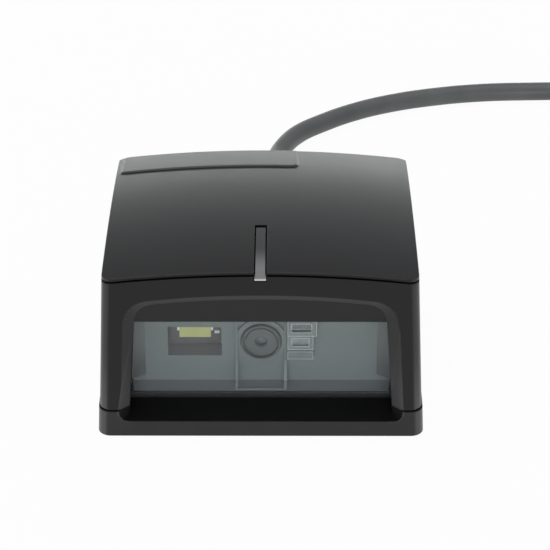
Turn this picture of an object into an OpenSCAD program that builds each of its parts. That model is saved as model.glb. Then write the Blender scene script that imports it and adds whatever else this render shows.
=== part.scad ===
// Compact fixed barcode reader: a base tray, a hooded housing and a domed cover round an imaging
// engine, with a tilted window at the front and a hard-wired data cable at the rear.
// Frame: origin under the middle of the base, front face towards -Y, +Z up, millimetres.

/* [Body] */
// Width across the base
body_w = 50; // [48:0.5:56]
// Depth from the front face to the rear face
body_d = 52; // [51:0.5:60]
// Height of the roof at the middle of its front edge
body_h = 29.1; // [28.5:0.1:33]
// Radius of the upright corners
corner_r = 2; // [1:0.1:3]
// Lean of the side walls from upright, in degrees
draft = 2.57; // [1:0.01:3]
// Radius of the domed roof
roof_r = 196; // [180:1:260]
// Wall thickness of the housing
wall = 1.8; // [1.5:0.1:2.2]

/* [Base tray] */
// Height of the tray's rim
base_h = 4.4; // [4.2:0.1:5.2]
// Thickness of the tray's floor
base_floor = 1.6; // [1.2:0.1:2]
// Step by which the tray stands out round the housing
base_step = 0.15; // [0.1:0.05:0.3]
// Height of the lip in front of the window
lip_h = 2.6; // [2.2:0.1:3]
// Height of the tongue that locates the housing
tongue_h = 1.2; // [0.8:0.1:1.6]

/* [Hood] */
// Height of the brow from the arch to the roof
brow_h = 4; // [3:0.1:5]
// Width of each leg beside the arch at the base
leg_w = 3.2; // [2.9:0.05:4.5]
// Width of each leg where the arch begins to turn
leg_top_w = 4.3; // [3.9:0.05:5.5]
// Radius of the arch's corners
hood_r = 4.2; // [3:0.1:5]
// Slope of the arch's crown beside its corners, in degrees
crown_a = 7; // [4:0.5:10]
// Depth of the chamfer under the brow
chamfer_d = 0.5; // [0.4:0.05:0.9]
// Depth of the chamfer at the foot of the legs
jamb_d = 1.6; // [1.2:0.1:2]
// Width of the chamfer at the sides
chamfer_side = 1.7; // [1.2:0.05:2]
// Height of the chamfer under the brow
chamfer_top = 1; // [0.8:0.1:1.6]

/* [Window] */
// Lean of the window from upright, top forward, in degrees
tilt = 14.5; // [12:0.5:18]
// Drop of the window's upper edge below the arch
pane_drop = 5.65; // [5.2:0.05:7]
// Depth of the groove in the tray that holds the pane's lower edge
pane_sink = 0.8; // [0.6:0.1:1]
// Thickness of the pane
pane_t = 1.2; // [0.8:0.1:1.6]
// Thickness of the frame in front of the pane
frame_t = 0.5; // [0.4:0.05:0.8]
// Thickness of the gasket behind the pane
gasket_t = 0.4; // [0.3:0.05:0.6]
// Width of the pane's margin in the slots round the window
ledge_w = 0.9; // [0.7:0.1:1.2]
// Thickness of the ledge behind the gasket
ledge_t = 1; // [0.8:0.1:1.4]

/* [Cover] */
// Thickness of the cover's plate
cover_t = 1.6; // [1.3:0.1:2]
// Height of the cover's edge that shows
rim_h = 0.45; // [0.4:0.05:0.8]
// Shadow gap between the cover and the housing
seam_gap = 0.35; // [0.2:0.05:0.5]
// Width of the lap that carries the shadow gap
lap_w = 0.9; // [0.7:0.1:1.1]
// Width of the light pipe
pipe_w = 1.45; // [1.2:0.05:2]
// Length of the light pipe along the roof
pipe_len = 14.3; // [12.8:0.1:16]
// Thickness of the light pipe
pipe_t = 0.8; // [0.6:0.1:1]
// Drop of the light pipe's front end below the roof
pipe_drop = 1.45; // [1.2:0.05:2]
// Length of the raised pad at the rear of the roof
pad_len = 10.5; // [8:0.1:12]
// Right edge of the raised pad from the middle
pad_right = 6.1; // [3:0.1:10]
// Height of the raised pad
pad_h = 0.28; // [0.2:0.02:0.5]

/* [Engine] */
// Depth from the front face to the engine's back panel
panel_in = 11; // [10.6:0.1:12]
// Half width of the engine's back panel
tub_half = 18; // [17:0.1:18.4]
// Height of the tub's floor
tub_floor = 3.4; // [3.2:0.1:3.8]
// Height of the lens axis and of the lamps
lens_z = 10.8; // [10.4:0.1:11.2]
// Outer diameter of the lens barrel
barrel_d = 6.2; // [5.6:0.1:6.8]
// Length of the lamp package
lamp_w = 5.6; // [5:0.1:6]
// Height of the lamp package
lamp_h = 2.4; // [2.2:0.1:3]
// Distance of the lamp from the lens axis
lamp_x = 10.3; // [10:0.1:11]

/* [Boards] */
// Thickness of the circuit boards
board_t = 1; // [0.8:0.1:1.2]
// Half width of the decoder board
board_half = 16.2; // [15.8:0.1:16.4]
// Height of the decoder board's underside
board_z = 6; // [5.8:0.1:6.6]
// Distance of the case screws from the sides of the base
screw_in = 5.9; // [5.8:0.1:6.4]
// Diameter of the case screws
screw_d = 2.2; // [2:0.1:2.6]
// Spacing of the mounting inserts
mount_pitch = 20; // [16:0.5:22]
// Thread of the mounting inserts
mount_d = 3; // [2.5:0.5:3]
// Distance of the mounting inserts behind the middle
mount_y = 8; // [7.5:0.5:9]

/* [Cable] */
// Outer diameter of the cable
cable_d = 3.5; // [3:0.1:4]
// Height of the cable's exit
cable_z = 10; // [9.8:0.1:10.6]
// Length of the strain relief behind the housing
relief_len = 12; // [10:0.5:13]

/* [Hidden] */
$fn = 48;

// Colours
black_plastic = "#2e2e30";
grey_plastic = "#6b706f";
board_green = "#1f4a36";
chip_black = "#1b1b1d";
bright_metal = "#c9cbcd";
brass = "#b5924c";
cable_grey = "#4a4b4d";

// General clearances
fit = 0.12;
pipe_gap = 0.2;
sliver = 0.05;
reach = 90;

// Outer places
half_w = body_w / 2;
scoop_r = 1.3;
drop_half = pipe_w / 2 + 0.13;
front_y = -body_d / 2;
rear_y = body_d / 2;
dome_z = body_h - roof_r;
house_front = front_y + base_step;
house_rear = rear_y - base_step;
inner_rear = house_rear - wall;

// Hood and window places
hood_top = body_h - brow_h;
recess_z = hood_top - chamfer_top;
recess_y = house_front + chamfer_d;
pane_back = frame_t + pane_t;
seat_d = pane_back + gasket_t;
ledge_back = seat_d + ledge_t;
arch_turn_z = hood_top - hood_r - 1;
knee_z = base_h - sliver;
pane_top = hood_top - pane_drop;
pane_low = lip_h - pane_sink;

// Engine places
lip_half = recess_half(lip_h) - 0.4;
panel_y = front_y + panel_in;
panel_t = 1.2;
panel_back = panel_y + panel_t;
tub_wall = 1;
tub_top = pane_top + 0.1;
tub_under = tub_floor - panel_t;
lamp_board_y = panel_back + 2.3;
lamp_board_back = lamp_board_y + board_t;
lamp_board_half = 16.2;
lamp_board_top = tub_top + 0.9;
lamp_board_low = tub_floor + 0.6;
opening_half = [lamp_w / 2 + 1.35, lamp_h / 2 + 1.7];
opening_rise = lamp_h / 2 + 1.07;
terminal_t = 0.35;
fill_half = lamp_w / 2 - terminal_t;
floor_slope = 0.13;
aimer_x = 6.1;
aimer_half = 2;
holder_y = lamp_board_back + 0.6;
holder_len = 4.6;
sensor_board_y = holder_y + holder_len;
sensor_board_back = sensor_board_y + board_t;
post_x = aimer_x + aimer_half + 2.2;
post_z = lamp_board_top - 3.1;
post_d = 3;
ear_x = 13;
ear_y = holder_y + 1.4;
lens_r = barrel_d / 2 - 1.9;
pupil_r = lens_r - 0.35;
holder_half = barrel_d / 2 + 1.6;
small_d = 1.6;
small_head_d = 2.8;
small_head_h = 0.9;
holder_screw_len = 3.6;
lamp_screw_len = 2.6;
engine_screw_len = 2.4;
board_screw_len = 3;

// Decoder board places
board_top = board_z + board_t;
board_front = sensor_board_back + 3.4;
board_rear = inner_rear - 2.2;
socket_front = board_front + 1.6;
socket_rear = socket_front + 2.6;
header_front = board_rear - 5.4;
chip_gap = 1.6;
chip_w = 10;
chip_deep = 7;
chip_h = 1.2;
memory_w = 7;
memory_deep = 5.5;
memory_h = 0.9;
power_w = 4;
beeper_d = 7;
beeper_at = [9.9, board_rear - 6.4];
standoff_x = board_half - 2.7;
standoff_y = [board_front + 2.6, board_rear - 2.6];
screw_x = half_w - screw_in;
screw_y = [lamp_board_back + 3.2, inner_rear - 3.4];
boss_d = 4.8;
boss_meet = board_z;
head_d = 4;
head_h = 1.3;
case_screw_len = 11;
insert_d = mount_d + 1;
insert_h = 2.8;

// Cable places
relief_tip = rear_y + relief_len;
coil_at = [86, 58];
coil_mean = 21;
coil_columns = 5;
coil_rows = 2;
coil_lift = 0.7;
coil_in = coil_mean - coil_columns * cable_d / 2;
coil_out = coil_mean + coil_columns * cable_d / 2;
coil_h = coil_rows * cable_d;
tie_w = 8;
tie_t = 0.6;
plug_x = 114.5;
plug_z = 4.2;
plug_y = 31;
floor_z = cable_d / 2;
run_route = [
    [0, relief_tip, cable_z], [0, 41, cable_z], [0, 44.5, 9], [0.2, 48.5, 7.1], [0.6, 53, 4.6],
    [1.3, 57.5, 2.6],
    [2.3, 62, floor_z], [3.7, 66.4, floor_z], [6.5, 71.4, floor_z], [11, 75.8, floor_z],
    [16.5, 80, floor_z], [23.4, 83.7, floor_z], [32.2, 86.7, floor_z], [42, 88.6, floor_z],
    [52, 89.2, floor_z], [62, 88.9, 2], [75, 87.8, coil_lift + floor_z]
];
tail_route = [
    [114.3, 43, 5.4], [114.4, 39.5, 4.9], [plug_x, 36, 4.4], [plug_x, 33.5, plug_z],
    [plug_x, plug_y, plug_z]
];

// Half width of the arch at the front face, and of the recess behind its chamfer
function arch_half(z) = half_w - leg_w - (leg_top_w - leg_w) * (z - base_h) / (arch_turn_z - base_h);
function recess_half(z) = arch_half(z) - chamfer_side;

// Depth of the chamfer at a height, deeper towards the foot of the legs
function chamfer_at(z) = chamfer_d + (jamb_d - chamfer_d) * (recess_z - z) / (recess_z - base_h);

// Ring of points on the chamfer, at a share of its depth
function chamfer_ring(mouth, throat, share) =
    [for (i = [0:len(mouth) - 1])
        let (p = mouth[i] + (throat[i] - mouth[i]) * share)
        [p[0], house_front + chamfer_at(throat[i][1]) * share, p[1]]];

// Slope coordinate along the window of a height on its front surface
function slope(z) = (z - recess_z) / cos(tilt);

// Arch outline from the lip to the crown, mirrored about the middle
function arch_outline(low, knee, side, top, r) =
    let (cx = side - r,
         xj = cx + r * sin(crown_a),
         rise = xj * tan(crown_a) / 2,
         cz = top - rise - r * cos(crown_a),
         turn = [for (i = [0:8]) let (a = i / 8 * (90 - crown_a)) [cx + r * cos(a), cz + r * sin(a)]],
         crown = [for (i = [1:6]) let (x = xj * (1 - i / 6)) [x, top - rise * pow(x / xj, 2)]],
         foot = [for (a = [0:30:90])
             [low + (knee - low) * sin(a), lip_h + (knee_z - lip_h) * (1 - cos(a))]],
         right = concat(foot, turn, crown))
    concat(right, [for (i = [len(right) - 2:-1:0]) [-right[i][0], right[i][1]]]);

// Flat slab across the whole part between two heights
module slab(low, high) {
    translate([-reach, -reach, low])
        cube([2 * reach, 2 * reach, high - low]);
}

// Box from one corner to the opposite one
module span(low, high) {
    translate(low)
        cube(high - low);
}

// Prism of a plan outline with its right-hand corners rounded, leaning in with the side wall
module leaning_side(half, half_d, r) {
    translate([half, 0, 0])
        rotate([0, -draft, 0])
            translate([-reach, 0, -reach / 4])
                linear_extrude(reach) {
                    translate([0, -half_d])
                        square([reach - r, 2 * half_d]);
                    translate([0, r - half_d])
                        square([reach, 2 * (half_d - r)]);
                    for (side = [-1, 1])
                        translate([reach - r, side * (half_d - r)])
                            circle(r);
                }
}

// The body's outer form, shrunk by an inset, without a top or a bottom
module body_form(inset) {
    r = max(corner_r - inset, 0.4);
    intersection() {
        leaning_side(half_w - inset, body_d / 2 - inset, r);
        mirror([1, 0, 0])
            leaning_side(half_w - inset, body_d / 2 - inset, r);
    }
}

// Ball whose top is the roof, lowered by a drop
module dome(drop) {
    translate([0, front_y, dome_z])
        sphere(roof_r - drop, $fn = 256);
}

// Frame of the window: X across, Z up the slope, Y into the body from the pane's front surface
module at_window() {
    translate([0, recess_y, recess_z])
        rotate([tilt, 0, 0])
            children();
}

// Everything in front of a plane parallel to the window
module before_window(depth) {
    at_window()
        span([-reach, -reach, -reach], [reach, depth, reach]);
}

// Plate of a window outline between two depths
module window_plate(top, low, side_gap, from, to) {
    at_window()
        translate([0, to, 0])
            rotate([90, 0, 0])
                linear_extrude(to - from)
                    polygon([
                        [-recess_half(top) + side_gap, slope(top)],
                        [recess_half(top) - side_gap, slope(top)],
                        [recess_half(low) - side_gap, slope(low)],
                        [-recess_half(low) + side_gap, slope(low)]
                    ]);
}

// The gap through the ledge behind the window
module window_opening(from, to) {
    window_plate(pane_top, lip_h, 0, from, to);
}

// Sheet that fills the slots round the window, smaller by a gap, between two depths
module slotted_sheet(gap, from, to) {
    window_plate(pane_top + ledge_w - gap, pane_low - fit + gap, gap - ledge_w, from, to);
}

// Thin upright sheet of an arch outline, its front at a given place
module arch_sheet(y, thick, points) {
    translate([0, y + thick, 0])
        rotate([90, 0, 0])
            linear_extrude(thick)
                polygon(points);
}

// The hooded pocket that runs through the housing and the tray down to the lip
module hood_pocket() {
    foot_half = arch_half(base_h);
    mouth = arch_outline(foot_half - scoop_r, foot_half, half_w - leg_top_w, hood_top, hood_r);
    throat = arch_outline(recess_half(lip_h), recess_half(base_h), half_w - leg_top_w - chamfer_side,
                          hood_top - chamfer_top, hood_r - 1);
    n = len(mouth);
    over = 0.2;
    middle = (lip_h + hood_top) / 2;
    // Each ring is capped by a fan round a point of its own
    points = concat(
        chamfer_ring(mouth, throat, -over), chamfer_ring(mouth, throat, 1 + over),
        [[0, house_front - jamb_d, middle], [0, house_front + jamb_d, middle]]);
    faces = [for (i = [0:n - 1]) let (j = (i + 1) % n)
        each [[i, j, n + i], [j, n + j, n + i], [2 * n, j, i], [2 * n + 1, n + i, n + j]]];
    intersection() {
        union() {
            polyhedron(points, faces);
            arch_sheet(front_y - 1, reach / 3, throat);
        }
        union() {
            before_window(0);
            at_window()
                span([-reach, -reach, -reach], [reach, seat_d, slope(pane_top)]);
        }
    }
}

// Screw with a domed head: the seat of the head at the origin, the shank along -Z
module dome_screw(d, long, head, head_high) {
    difference() {
        rotate_extrude()
            polygon([
                [0, -long], [d / 2 - 0.2, -long], [d / 2, -long + 0.4], [d / 2, 0], [head / 2, 0],
                [head / 2, head_high * 0.5], [head / 2 - head_high * 0.4, head_high], [0, head_high]
            ]);
        for (turn = [0, 90])
            rotate(turn)
                translate([-d * 0.45, -d * 0.09, head_high * 0.5])
                    cube([d * 0.9, d * 0.18, head_high]);
    }
}

// Children at every case screw
module at_case_screws() {
    for (side = [-1, 1], y = screw_y)
        translate([side * screw_x, y, 0])
            children();
}

// Children at every screw of the decoder board
module at_standoffs() {
    for (side = [-1, 1], y = standoff_y)
        translate([side * standoff_x, y, 0])
            children();
}

// Children at each mounting insert
module at_inserts() {
    for (side = [-1, 1])
        translate([side * mount_pitch / 2, mount_y, 0])
            children();
}

// Lower moulding: floor, rim, locating tongue, screw bosses and the scoop before the window
module base_tray() {
    tongue_out = base_step + wall + fit;
    rim_in = tongue_out + 0.8;
    color(black_plastic)
        difference() {
            union() {
                difference() {
                    intersection() {
                        body_form(0);
                        slab(0, base_h);
                    }
                    intersection() {
                        body_form(rim_in);
                        slab(base_floor, base_h + 1);
                        difference() {
                            slab(0, base_h + 1);
                            before_window(ledge_back);
                        }
                    }
                }
                intersection() {
                    difference() {
                        body_form(tongue_out);
                        body_form(rim_in);
                    }
                    slab(base_h - 1, base_h + tongue_h);
                    span([-reach, screw_y[0], 0], [reach, reach, reach]);
                }
                at_case_screws()
                    cylinder(d = boss_d, h = boss_meet);
                at_standoffs()
                    cylinder(d = 4, h = board_z);
                at_inserts()
                    cylinder(d = insert_d + 2.4, h = insert_h + 1.2);
                for (side = [-1, 1])
                    span([side * ear_x - 2.6, panel_back + 0.4, base_floor - sliver],
                         [side * ear_x + 2.6, ear_y + 2.4, tub_under]);
            }
            hood_pocket();
            // Groove for the pane, and room for the engine's front lip behind it
            slotted_sheet(0, frame_t, seat_d);
            difference() {
                span([-lip_half - fit, front_y, tub_under - fit], [lip_half + fit, panel_back, base_h + 1]);
                before_window(seat_d - sliver);
            }
            at_case_screws() {
                translate([0, 0, -1])
                    cylinder(d = screw_d + 2 * fit, h = boss_meet + 2);
                translate([0, 0, -1])
                    cylinder(d = head_d + 2 * fit, h = head_h + 1 + fit);
            }
            at_standoffs()
                translate([0, 0, board_z - 2.4])
                    cylinder(d = small_d + fit, h = 4);
            at_inserts()
                translate([0, 0, -1])
                    cylinder(d = insert_d, h = insert_h + 1);
            for (side = [-1, 1])
                translate([side * ear_x, ear_y, tub_under - 1.6])
                    cylinder(d = small_d + fit, h = 3);
        }
}

// Middle moulding: side and rear walls, brow, legs and the ledge behind the window
module main_housing() {
    color(black_plastic)
        difference() {
            intersection() {
                body_form(base_step);
                slab(base_h, body_h);
                dome(rim_h + seam_gap);
            }
            // Inside, behind the window ledge
            difference() {
                body_form(base_step + wall);
                before_window(ledge_back);
            }
            // The inner part of the wall stops under the cover's plate
            difference() {
                body_form(base_step + lap_w);
                dome(cover_t);
            }
            // Shadow groove over the tray
            difference() {
                slab(base_h - 1, base_h + 0.25);
                body_form(base_step + 0.3);
            }
            hood_pocket();
            slotted_sheet(0, frame_t, seat_d);
            window_opening(0, ledge_back + 1);
            // Notch for the front end of the light pipe
            span([-drop_half - fit, front_y - 1, body_h - pipe_drop - pipe_gap],
                 [drop_half + fit, house_front + pipe_t + fit, body_h + 1]);
            // Hole for the strain relief
            translate([0, house_rear + 1, cable_z])
                rotate([90, 0, 0])
                    cylinder(d = cable_d + 2.7, h = wall + 2);
        }
}

// Domed cover with a lapped edge, a locating lip, four screw bosses and the raised pad
module top_cover() {
    lip_out = base_step + wall + fit;
    slot_half = pipe_w / 2 + pipe_gap;
    slot_end = house_front + pipe_len + 0.9;
    color(black_plastic)
        difference() {
            union() {
                difference() {
                    intersection() {
                        body_form(base_step);
                        dome(0);
                    }
                    dome(rim_h);
                }
                difference() {
                    intersection() {
                        body_form(base_step + lap_w + fit);
                        dome(rim_h - sliver);
                    }
                    dome(cover_t);
                }
                intersection() {
                    difference() {
                        body_form(lip_out);
                        body_form(lip_out + 0.9);
                    }
                    difference() {
                        dome(cover_t - sliver);
                        dome(cover_t + 1.6);
                    }
                    span([-reach, screw_y[0], 0], [reach, reach, reach]);
                }
                intersection() {
                    at_case_screws()
                        translate([0, 0, boss_meet])
                            cylinder(d = boss_d, h = body_h);
                    dome(cover_t - sliver);
                }
                raised_pad();
            }
            // Slot for the light pipe, and the hole for its foot
            difference() {
                span([-slot_half, front_y - 1, base_h], [slot_half, slot_end, body_h + 1]);
                dome(pipe_t + fit);
            }
            span([-slot_half, house_front + pipe_len - 1.5 - fit, base_h],
                 [slot_half, house_front + pipe_len + fit, body_h + 1]);
            span([-slot_half, front_y - 1, base_h], [slot_half, house_front + pipe_t + fit, body_h + 1]);
            at_case_screws()
                translate([0, 0, boss_meet - 1])
                    cylinder(d = screw_d + fit, h = case_screw_len - boss_meet + head_h + 2);
        }
}

// Bare raised pad on the rear left of the roof, its rim stepped in as a bevel
module raised_pad() {
    steps = 3;
    bevel = [0.14, 0.05];
    for (i = [1:steps])
        difference() {
            intersection() {
                body_form(base_step + 0.5 + bevel[0] * i);
                dome(-pad_h * i / steps);
                translate([pad_right - bevel[0] * i - reach, rear_y - pad_len + bevel[1] * i, base_h])
                    linear_extrude(body_h) {
                        translate([0, 1])
                            square(reach);
                        square([reach - 1, reach]);
                        translate([reach - 1, 1])
                            circle(1);
                    }
            }
            dome(rim_h);
        }
}

// Clear pane, slid into its slots from below and held by the tray
module window_pane() {
    color("#9fb0b2", 0.35)
        slotted_sheet(fit, frame_t, pane_back);
}

// Foam frame between the pane and the ledge
module window_gasket() {
    color("#3a3c3d")
        difference() {
            slotted_sheet(fit, pane_back, seat_d);
            window_opening(0, ledge_back);
        }
}

// Light pipe along the roof, over the front edge and down to the indicator lamp
module light_pipe() {
    tail_y = house_front + pipe_len;
    color("#8f9596")
        intersection() {
            union() {
                difference() {
                    span([-pipe_w / 2, house_front, base_h], [pipe_w / 2, tail_y, body_h]);
                    dome(pipe_t);
                }
                span([-pipe_w / 2, house_front, body_h - pipe_drop],
                     [pipe_w / 2, house_front + pipe_t, body_h]);
                // The drop widens below the edge of the cover
                intersection() {
                    span([-drop_half, house_front, body_h - pipe_drop],
                         [drop_half, house_front + pipe_t, body_h]);
                    dome(rim_h + seam_gap);
                }
                span([-pipe_w / 2, tail_y - 1.5, tub_top + panel_t + 0.3],
                     [pipe_w / 2, tail_y, body_h]);
            }
            dome(0);
        }
}

// Light grey tub behind the window: side walls, floor, back panel with its openings, ribs and posts
module engine_chassis() {
    rim_half = recess_half(lip_h) + 0.1;
    flare_y = panel_y - 1.5;
    rib_x = 3.8;
    color(grey_plastic)
        difference() {
            union() {
                difference() {
                    translate([0, 0, tub_under])
                        linear_extrude(tub_top + panel_t - tub_under)
                            polygon([
                                [-rim_half - tub_wall, recess_y], [rim_half + tub_wall, recess_y],
                                [rim_half + tub_wall, flare_y], [tub_half + tub_wall, panel_back],
                                [-tub_half - tub_wall, panel_back], [-rim_half - tub_wall, flare_y]
                            ]);
                    translate([0, 0, tub_floor])
                        linear_extrude(tub_top - tub_floor)
                            polygon([
                                [-rim_half, recess_y - 1], [rim_half, recess_y - 1], [rim_half, flare_y],
                                [tub_half, panel_y], [-tub_half, panel_y], [-rim_half, flare_y]
                            ]);
                    // The floor falls towards the window
                    rotate([90, 0, 90])
                        linear_extrude(2 * rim_half, center = true)
                            polygon([
                                [panel_y, tub_floor], [panel_y - 9, tub_floor - 9 * floor_slope],
                                [panel_y - 9, tub_floor + 1], [panel_y, tub_floor + 1]
                            ]);
                }
                // Ribs beside the lens, thicker and deeper towards the floor
                for (side = [-1, 1])
                    translate([side * rib_x - 0.25, 0, 0])
                        rotate([90, 0, 90])
                            linear_extrude(0.5)
                                polygon([
                                    [panel_y + 0.2, tub_under], [panel_y - 2.4, tub_under],
                                    [panel_y - 2.4, tub_floor + 0.4], [panel_y - 1.5, tub_floor + 2.4],
                                    [panel_y - 0.7, tub_floor + 4],
                                    [panel_y - 0.7, lens_z + 5], [panel_y + 0.2, lens_z + 5]
                                ]);
                // Sill between the ribs at the front of the floor
                span([-rib_x, panel_y - 2.4, tub_under], [rib_x, panel_y - 2.05, tub_floor - 0.1]);
                // Collar round the lens
                translate([0, panel_y + 0.2, lens_z])
                    rotate([90, 0, 0])
                        cylinder(d = barrel_d + 1.8, h = 0.7);
                // Shroud of the lamp
                span([-lamp_x - opening_half[0] - 0.7, panel_back - sliver, lens_z - opening_half[1] - 0.7],
                     [-lamp_x + opening_half[0] + 0.7, lamp_board_y - fit, lens_z + opening_rise + 0.7]);
                // Posts for the lamp board and for the lens holder
                for (side = [-1, 1]) {
                    translate([side * post_x, holder_y, post_z])
                        rotate([90, 0, 0])
                            cylinder(d = post_d, h = holder_y - panel_back + sliver);
                    translate([side * (lamp_board_half - 2), lamp_board_y, post_z])
                        rotate([90, 0, 0])
                            cylinder(d = post_d, h = lamp_board_y - panel_back + sliver);
                    span([side * ear_x - 2.2, panel_back - sliver, tub_under],
                         [side * ear_x + 2.2, ear_y + 2.2, tub_floor]);
                }
            }
            // The front lip under the window reaches the gasket, the rest stops behind the ledge
            before_window(seat_d + fit);
            difference() {
                before_window(ledge_back + fit);
                span([-lip_half, front_y, 0], [lip_half, panel_back, base_h]);
            }
            // Lamp opening, lens hole and aimer opening
            span([-lamp_x - opening_half[0], panel_y - 1, lens_z - opening_half[1]],
                 [-lamp_x + opening_half[0], lamp_board_y + 1, lens_z + opening_rise]);
            translate([0, panel_back + 1, lens_z])
                rotate([90, 0, 0])
                    cylinder(d = barrel_d + 2 * fit, h = panel_t + 3);
            span([aimer_x - aimer_half - fit, panel_y - 1, lens_z - 2.9 - fit],
                 [aimer_x + aimer_half + fit, panel_back + 1, lens_z + 4.8 + fit]);
            // Screw holes
            for (side = [-1, 1]) {
                translate([side * post_x, holder_y + 1, post_z])
                    rotate([90, 0, 0])
                        cylinder(d = small_d + fit, h = 3.6);
                translate([side * (lamp_board_half - 2), lamp_board_y + 1, post_z])
                    rotate([90, 0, 0])
                        cylinder(d = small_d + fit, h = 3);
                translate([side * ear_x, ear_y, tub_under - 1])
                    cylinder(d = small_d + 2 * fit, h = 4);
            }
        }
}

// Lens barrel: a ringed front face round a small pupil, and a seat for the lens
module lens_barrel() {
    long = sensor_board_y - 1.8 - (panel_y - 1);
    r = barrel_d / 2;
    color("#4b4f50")
        translate([0, panel_y - 1, lens_z])
            rotate([-90, 0, 0])
                rotate_extrude()
                    polygon([
                        [r - 0.15, 0], [r, 0.15], [r, long], [r - 0.9, long], [r - 0.9, 2.6],
                        [lens_r, 2.6], [lens_r, 1.1], [pupil_r, 0.85], [pupil_r, 0.45], [pupil_r + 0.2, 0.25],
                        [r - 0.7, 0.25], [r - 0.7, 0.7], [r - 0.35, 0.7], [r - 0.35, 0]
                    ]);
}

// Front lens seated in the barrel
module lens_element() {
    crown = 0.5;
    ball = (lens_r * lens_r + crown * crown) / (2 * crown);
    color("#20303a")
        translate([0, panel_y - 1 + 2.6, lens_z])
            rotate([90, 0, 0])
                intersection() {
                    cylinder(r = lens_r - 0.02, h = 1.6);
                    translate([0, 0, 1.5 - ball])
                        sphere(ball, $fn = 96);
                }
}

// Holder that carries the barrel in front of the sensor, with two screw ears
module lens_holder() {
    half = holder_half;
    color(chip_black)
        difference() {
            union() {
                span([-half, holder_y, lens_z - half], [half, sensor_board_y, lens_z + half]);
                span([-post_x - 2, holder_y, min(lens_z + half - 1, post_z - 1.8)],
                     [post_x + 2, holder_y + 1.4, post_z + 1.8]);
            }
            translate([0, sensor_board_y - 1.7, lens_z])
                rotate([90, 0, 0])
                    cylinder(d = barrel_d + fit, h = holder_len);
            span([-3.4, sensor_board_y - 1.8, lens_z - 2.8], [3.4, sensor_board_y + 1, lens_z + 2.8]);
            for (side = [-1, 1])
                translate([side * post_x, holder_y + 3, post_z])
                    rotate([90, 0, 0])
                        cylinder(d = small_d + 2 * fit, h = 5);
        }
}

// Upright board that carries the image sensor
module sensor_board() {
    color(board_green)
        span([-2 * holder_half, sensor_board_y, lens_z - holder_half - 0.5],
             [2 * holder_half, sensor_board_back, lens_z + holder_half + 0.3]);
}

// Image sensor in the cavity of the lens holder
module image_sensor() {
    color("#3a3d55")
        span([-2.6, sensor_board_y - 1, lens_z - 2.1], [2.6, sensor_board_y, lens_z + 2.1]);
}

// Upright board of the lamps, with a hole for the lens barrel and the posts
module lamp_board() {
    color(board_green)
        difference() {
            span([-lamp_board_half, lamp_board_y, lamp_board_low],
                 [lamp_board_half, lamp_board_back, lamp_board_top]);
            translate([0, lamp_board_back + 1, lens_z])
                rotate([90, 0, 0])
                    cylinder(d = barrel_d + 0.6, h = board_t + 2);
            for (side = [-1, 1]) {
                translate([side * post_x, lamp_board_back + 1, post_z])
                    rotate([90, 0, 0])
                        cylinder(d = post_d + 2 * fit, h = board_t + 2);
                translate([side * (lamp_board_half - 2), lamp_board_back + 1, post_z])
                    rotate([90, 0, 0])
                        cylinder(d = small_d + 2 * fit, h = board_t + 2);
            }
        }
}

// White base of the illumination lamp
module lamp_package() {
    color("#d8d8d2")
        span([-lamp_x - fill_half, lamp_board_y - 0.45, lens_z - lamp_h / 2],
             [-lamp_x + fill_half, lamp_board_y, lens_z + lamp_h / 2]);
}

// Yellow phosphor block on the base
module lamp_phosphor() {
    color("#d6d68a")
        span([-lamp_x - fill_half, lamp_board_y - 1, lens_z - lamp_h / 2 + 0.1],
             [-lamp_x + fill_half, lamp_board_y - 0.45, lens_z + lamp_h / 2 - 0.1]);
}

// Metal ears at the upper corners of the lamp
module lamp_terminals() {
    color(bright_metal)
        for (side = [-1, 1])
            translate([side * (fill_half + terminal_t / 2) - lamp_x, lamp_board_y - 0.4, lens_z + lamp_h / 4])
                cube([terminal_t, 0.8, lamp_h / 2], center = true);
}

// Small lamp under the foot of the light pipe
module indicator_lamp() {
    color("#e6e6e0")
        span([-0.8, lamp_board_y - 0.7, lamp_board_top - 1], [0.8, lamp_board_y, lamp_board_top - 0.2]);
}

// Chip resistors beside the lamp
module chip_resistors() {
    color(chip_black)
        for (dz = [-2.2, 2.2])
            translate([-lamp_x + lamp_w / 2 + 0.6, lamp_board_y - 0.22, lens_z + dz / 2])
                cube([0.8, 0.44, 1.6], center = true);
}

// Stepped holder of the aiming lamp: a wide top frame, a middle frame with a slit and a lower bar
module aimer_holder() {
    left = aimer_x - aimer_half;
    right = aimer_x + aimer_half;
    color("#9a9f9f")
        difference() {
            union() {
                span([left, panel_y - 0.6, lens_z - 2.9], [right, lamp_board_y - fit, lens_z + 4.8]);
                span([left, panel_y - 2.1, lens_z + 1.9], [right + 0.5, panel_y - 0.5, lens_z + 4.8]);
                span([left, panel_y - 1.5, lens_z - 0.9], [right, panel_y - 0.5, lens_z + 2]);
                span([left, panel_y - 1.1, lens_z - 2.9], [right, panel_y - 0.5, lens_z - 1.5]);
            }
            span([left + 0.6, panel_y - 3, lens_z + 2.6], [right - 0.3, panel_y - 1.2, lens_z + 4.1]);
            span([left + 0.7, panel_y - 3, lens_z - 0.3], [right - 0.7, lamp_board_y + 1, lens_z + 1.1]);
        }
}

// Clear bar lens in the slit of the aimer
module aimer_lens() {
    color("#b9c4c6")
        intersection() {
            span([aimer_x - aimer_half + 0.72, panel_y - 1.3, lens_z - 0.28],
                 [aimer_x + aimer_half - 0.72, panel_y, lens_z + 1.08]);
            translate([aimer_x, panel_y - 0.2, lens_z + 0.4])
                rotate([0, 90, 0])
                    cylinder(r = 1.1, h = 6, center = true);
        }
}

// Aiming lamp behind its lens
module aimer_lamp() {
    color("#e0e0da")
        span([aimer_x - 0.8, lamp_board_y - 0.8, lens_z - 0.2], [aimer_x + 0.8, lamp_board_y, lens_z + 1]);
}

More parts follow.
